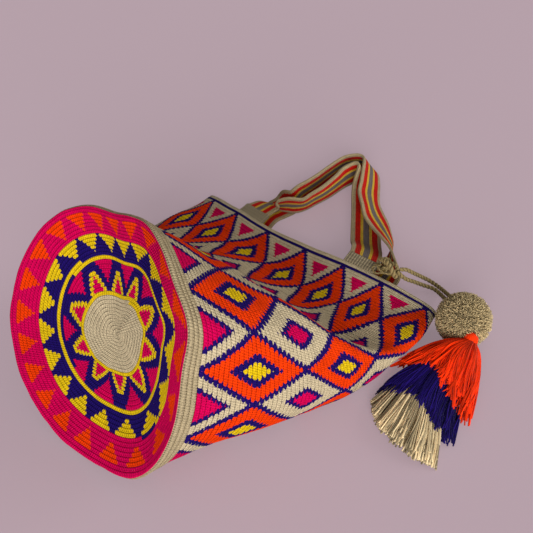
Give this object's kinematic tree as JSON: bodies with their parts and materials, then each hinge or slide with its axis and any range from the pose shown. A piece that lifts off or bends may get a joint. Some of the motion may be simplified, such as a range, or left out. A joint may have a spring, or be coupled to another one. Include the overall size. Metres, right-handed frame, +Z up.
{
  "type": "crocheted tote bag",
  "caption": "Round-based crocheted tote bag lying on its side, half collapsed, with woven strap handles and a pompom and tassel charm on its rim.",
  "frame": {"origin": "on the ground, on the flat underside of the bag's lower side, below the middle of the leaning base", "axes": "+Z up from the ground, +X from the base towards the flattened mouth and the handles, +Y to the far side"},
  "size_m": [0.4882, 0.4037, 0.1865],
  "materials": {
    "tapestry_crochet": "tight cotton tapestry crochet in orange, magenta, navy, yellow and cream",
    "cream_crochet": "ribbed cream crochet",
    "striped_webbing": "woven band with red, yellow, grey and cream stripes",
    "cream_cord": "twisted cotton cord",
    "cream_yarn": "cut cream yarn",
    "navy_yarn": "cut navy yarn",
    "orange_yarn": "looped orange yarn"
  },
  "bodies": {
    "root": {"crochet_body": "tapestry_crochet", "front_left_tab": "cream_crochet", "front_right_tab": "cream_crochet", "back_left_tab": "cream_crochet", "back_right_tab": "cream_crochet", "front_handle": "striped_webbing", "back_handle": "striped_webbing", "charm_knot": "cream_cord", "charm_cord_upper": "cream_cord", "charm_cord_lower": "cream_cord", "pompom": "cream_yarn", "cream_tassel": "cream_yarn", "navy_tassel": "navy_yarn", "orange_tassel": "orange_yarn"}
  },
  "joints": []
}
